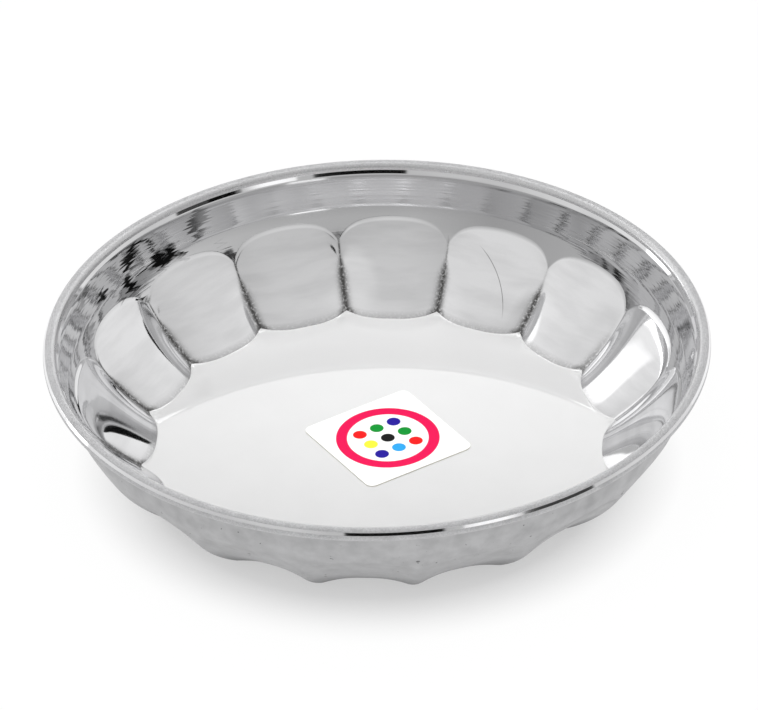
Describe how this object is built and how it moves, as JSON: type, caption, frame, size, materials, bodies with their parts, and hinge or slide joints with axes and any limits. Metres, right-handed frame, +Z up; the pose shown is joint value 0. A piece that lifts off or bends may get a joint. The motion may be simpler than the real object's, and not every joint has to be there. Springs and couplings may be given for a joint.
{
  "type": "fluted pudding plate",
  "caption": "Shallow round stainless steel plate with a flat base, pressed flutes round the wall, a plain upper band and a curled rim, with a square label stuck inside.",
  "frame": {"origin": "centre of the flat underside, on the surface that the plate stands on", "axes": "+Z up along the axis of the dish; +Y towards the middle of a flute; +X to the right seen from the front"},
  "size_m": [0.16, 0.16, 0.0319],
  "materials": {
    "polished_steel": "mirror polished inside, satin on the rim and outside",
    "label_adhesive": "thin translucent acrylic adhesive film",
    "label_stock": "coated label paper with a gloss print"
  },
  "bodies": {
    "root": {"plate_shell": "polished_steel", "label_adhesive": "label_adhesive", "label_stock": "label_stock"}
  },
  "joints": []
}
